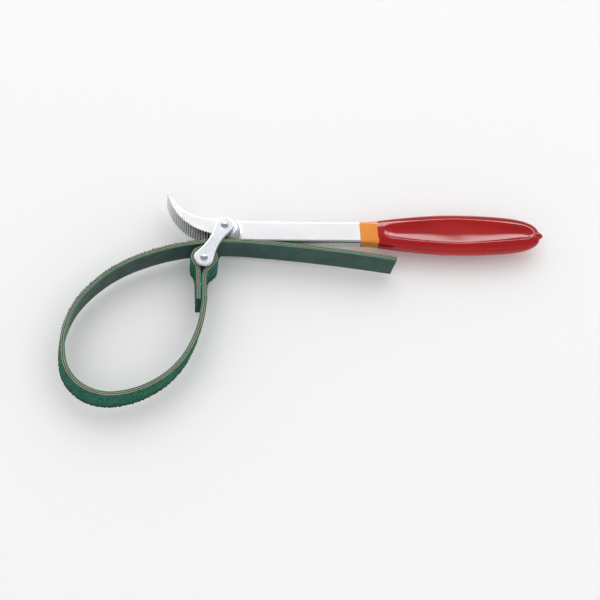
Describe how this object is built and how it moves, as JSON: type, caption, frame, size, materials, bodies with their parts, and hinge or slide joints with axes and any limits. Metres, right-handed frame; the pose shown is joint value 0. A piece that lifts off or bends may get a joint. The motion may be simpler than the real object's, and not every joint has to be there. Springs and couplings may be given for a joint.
{
  "type": "oil filter strap wrench",
  "caption": "Strap wrench for spin-on filters: a forged lever with a toothed crescent jaw and dipped grip, paired link plates and a laminated belt loop with a free tail.",
  "frame": {"origin": "under the middle of the object's box, on the surface that it lies on", "axes": "+X along the lever from the hub to the grip, +Y across the lever on the side away from the belt, +Z along both rivets, up from the surface"},
  "size_m": [0.3522, 0.1652, 0.0296],
  "materials": {
    "forged_steel": "satin chrome plate over a forging",
    "polished_link": "polished chrome plate",
    "rivet_steel": "bright zinc",
    "first_coat": "orange dipped vinyl, glossy",
    "second_coat": "red dipped vinyl, glossy",
    "strap_core": "smooth matte lining over woven plies",
    "strap_cover": "rough-top cover, matte",
    "thread": "waxed thread"
  },
  "bodies": {
    "lever": {"forged_lever": "forged_steel", "first_dip_coat": "first_coat", "second_dip_coat": "second_coat"},
    "link": {"front_link_plate": "polished_link", "rear_link_plate": "polished_link", "hub_rivet": "rivet_steel", "eye_rivet": "rivet_steel", "eye_sleeve": "rivet_steel", "front_hub_washer": "rivet_steel", "rear_hub_washer": "rivet_steel"},
    "strap_eye": {"strap_core_eye": "strap_core", "strap_cover_eye": "strap_cover", "eye_stitching": "thread"},
    "strap_right_upper": {"strap_core_right_upper": "strap_core", "strap_cover_right_upper": "strap_cover"},
    "strap_right_lower": {"strap_core_right_lower": "strap_core", "strap_cover_right_lower": "strap_cover"},
    "strap_bight": {"strap_core_bight": "strap_core", "strap_cover_bight": "strap_cover"},
    "strap_left_lower": {"strap_core_left_lower": "strap_core", "strap_cover_left_lower": "strap_cover"},
    "strap_left_upper": {"strap_core_left_upper": "strap_core", "strap_cover_left_upper": "strap_cover"},
    "strap_throat": {"strap_core_throat": "strap_core", "strap_cover_throat": "strap_cover"},
    "strap_tail": {"strap_core_tail": "strap_core", "strap_cover_tail": "strap_cover"}
  },
  "joints": [
    {"name": "link_swing", "type": "hinge", "parent": "lever", "child": "link", "pos_m": [-0.06121, 0.05246, 0.0148], "axis": [0, 0, 1], "range_deg": [-4, 50]},
    {"name": "eye_turn", "type": "hinge", "parent": "link", "child": "strap_eye", "pos_m": [-0.07653, 0.02516, 0.0148], "axis": [0, 0, 1], "range_deg": [-50, 4]},
    {"name": "loop_right_top", "type": "hinge", "parent": "strap_eye", "child": "strap_right_upper", "pos_m": [-0.07718, -0.00768, 0.0148], "axis": [0, 0, 1], "range_deg": [-6.5, 10.7]},
    {"name": "loop_right_mid", "type": "hinge", "parent": "strap_right_upper", "child": "strap_right_lower", "pos_m": [-0.08995, -0.04838, 0.0148], "axis": [0, 0, 1], "range_deg": [-12.3, 7.5]},
    {"name": "loop_right_low", "type": "hinge", "parent": "strap_right_lower", "child": "strap_bight", "pos_m": [-0.12022, -0.07662, 0.0148], "axis": [0, 0, 1], "range_deg": [-10.3, 6.3]},
    {"name": "loop_left_low", "type": "hinge", "parent": "strap_bight", "child": "strap_left_lower", "pos_m": [-0.1743, -0.04216, 0.0148], "axis": [0, 0, 1], "range_deg": [-2.9, 1.8]},
    {"name": "loop_feed", "type": "hinge", "parent": "strap_left_lower", "child": "strap_left_upper", "pos_m": [-0.15706, 0.00059, 0.0148], "axis": [0, 0, 1], "range_deg": [-11, 18]},
    {"name": "loop_left_top", "type": "hinge", "parent": "strap_left_upper", "child": "strap_throat", "pos_m": [-0.11675, 0.03007, 0.0148], "axis": [0, 0, 1], "range_deg": [-10.7, 6.6]},
    {"name": "tail_bend", "type": "hinge", "parent": "strap_throat", "child": "strap_tail", "pos_m": [-0.0263, 0.03915, 0.0148], "axis": [0, 0, 1], "range_deg": [-25, 0]}
  ],
  "couplings": [
    {"joint": "eye_turn", "follows": "link_swing", "ratio": -1},
    {"joint": "loop_right_top", "follows": "loop_feed", "ratio": 0.59},
    {"joint": "loop_right_mid", "follows": "loop_feed", "ratio": -0.678},
    {"joint": "loop_right_low", "follows": "loop_feed", "ratio": -0.568},
    {"joint": "loop_left_low", "follows": "loop_feed", "ratio": -0.16},
    {"joint": "loop_left_top", "follows": "loop_feed", "ratio": -0.594}
  ]
}
